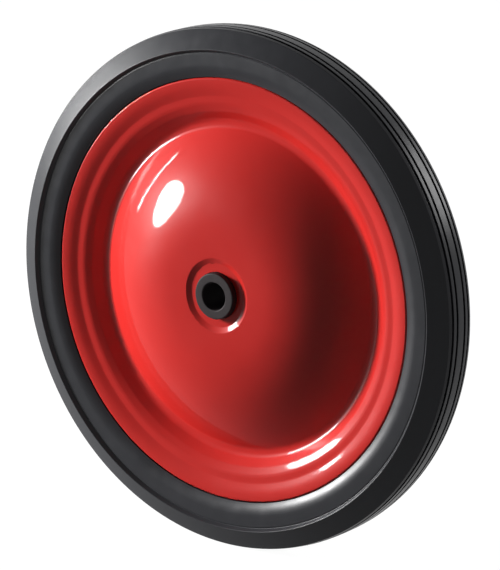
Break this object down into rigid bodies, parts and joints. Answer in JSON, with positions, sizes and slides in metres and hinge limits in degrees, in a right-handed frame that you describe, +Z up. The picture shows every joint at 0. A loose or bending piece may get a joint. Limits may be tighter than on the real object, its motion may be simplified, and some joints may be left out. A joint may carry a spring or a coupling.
{
  "type": "pvc tyred wheel",
  "caption": "Narrow wheel with a ribbed PVC tyre on a domed pressed-steel disc and a plain-bore plastic hub bush.",
  "frame": {"origin": "the wheel's centre: on the spin axis, in the middle plane of the tyre", "axes": "+Y along the spin axis towards the rear, so that the front faces -Y; +Z up"},
  "size_m": [0.25, 0.0396, 0.25],
  "materials": {
    "tyre": "satin moulded black PVC",
    "disc_paint": "gloss red paint on pressed steel",
    "bush_plastic": "satin dark grey plastic"
  },
  "bodies": {
    "root": {"tyre": "tyre", "front_disc": "disc_paint", "rear_disc": "disc_paint", "hub_bush": "bush_plastic"}
  },
  "joints": []
}
